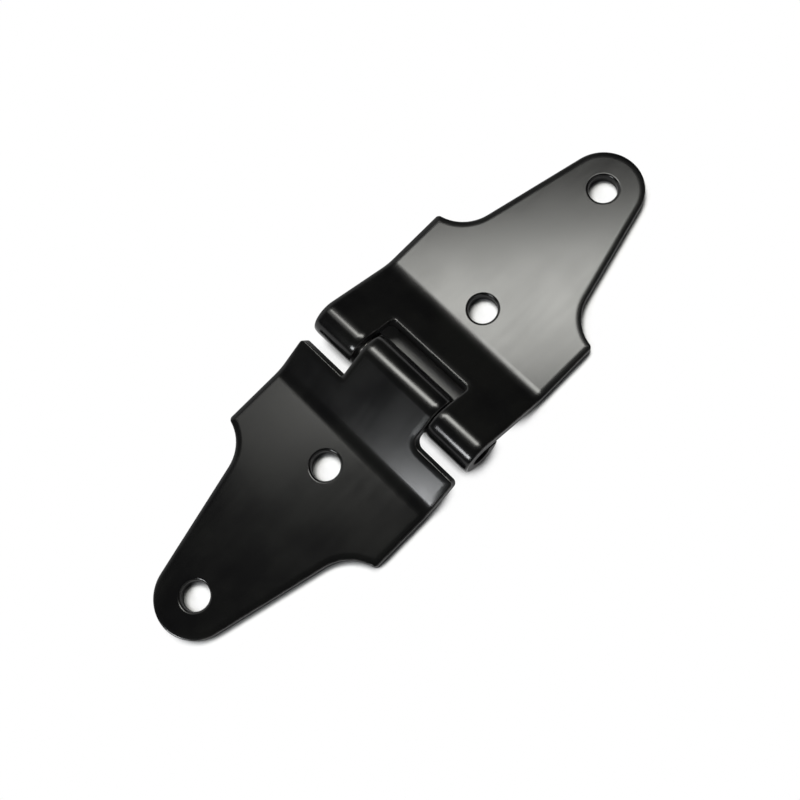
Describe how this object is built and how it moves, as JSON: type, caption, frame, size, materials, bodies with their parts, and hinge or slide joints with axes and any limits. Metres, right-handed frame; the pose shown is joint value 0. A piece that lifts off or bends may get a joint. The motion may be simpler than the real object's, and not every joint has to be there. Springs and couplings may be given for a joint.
{
  "type": "trailer hinge",
  "caption": "Offset strap hinge of heavy pressed steel for a ramp, gate or lid: two tapered bolt-on leaves, bent up and curled round one pin.",
  "frame": {"origin": "in the plane of the faces that are bolted down, straight under the middle of the pin, with the hinge lying open and flat", "axes": "+X runs along the hinge towards the leaf with the two outer knuckles, +Y runs along the pin, +Z points away from the faces that are bolted down"},
  "size_m": [0.1968, 0.0636, 0.0135],
  "materials": {
    "black_coat": "thin semi-gloss black dip coat over pressed steel, a little worn at the edges",
    "pin_steel": "plain cold-drawn steel, with the black coat over its end faces"
  },
  "bodies": {
    "outer_leaf": {"outer_knuckle_leaf": "black_coat", "hinge_pin": "pin_steel"},
    "centre_leaf": {"centre_knuckle_leaf": "black_coat"}
  },
  "joints": [
    {"name": "leaf_swing", "type": "hinge", "parent": "outer_leaf", "child": "centre_leaf", "pos_m": [0, 0, 0.00692], "axis": [0, 1, 0], "range_deg": [-145, 145]}
  ]
}
